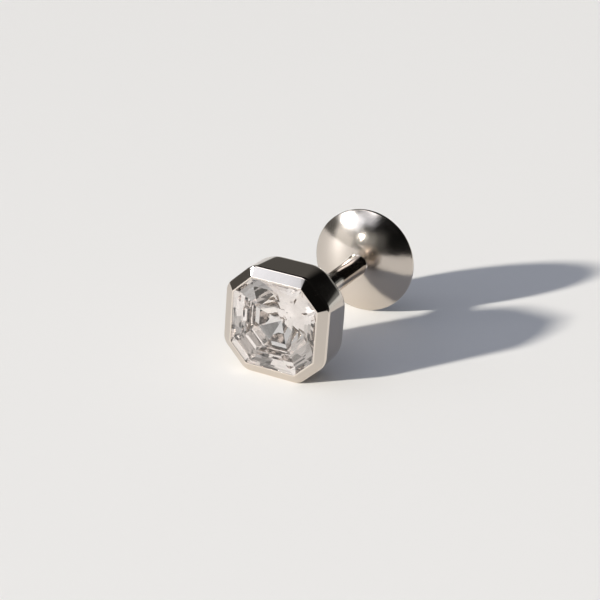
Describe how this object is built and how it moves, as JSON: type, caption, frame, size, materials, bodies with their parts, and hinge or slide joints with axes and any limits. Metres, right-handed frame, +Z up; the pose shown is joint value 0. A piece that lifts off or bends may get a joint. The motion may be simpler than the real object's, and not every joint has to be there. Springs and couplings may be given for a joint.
{
  "type": "stud earring",
  "caption": "Bezel-set square step-cut stud earring with a straight round post and a domed back.",
  "frame": {"origin": "on the surface that the stud lies on, under the middle of its box", "axes": "+Z up; the post's axis runs along Y, rising 0.4 degrees towards +Y, and the stone faces -Y"},
  "size_m": [0.0052, 0.0104, 0.0051],
  "materials": {
    "setting_metal": "mirror-polished white metal with soft edges and faint polishing hairlines",
    "crystal": "clear, colourless, flat polished facets with crisp edges, bright as if silvered behind the pavilion",
    "post_metal": "mirror-polished white metal, a little finer scratched on the dome than on the cup"
  },
  "bodies": {
    "root": {"bezel_setting": "setting_metal", "stone": "crystal", "post_and_back": "post_metal"}
  },
  "joints": []
}
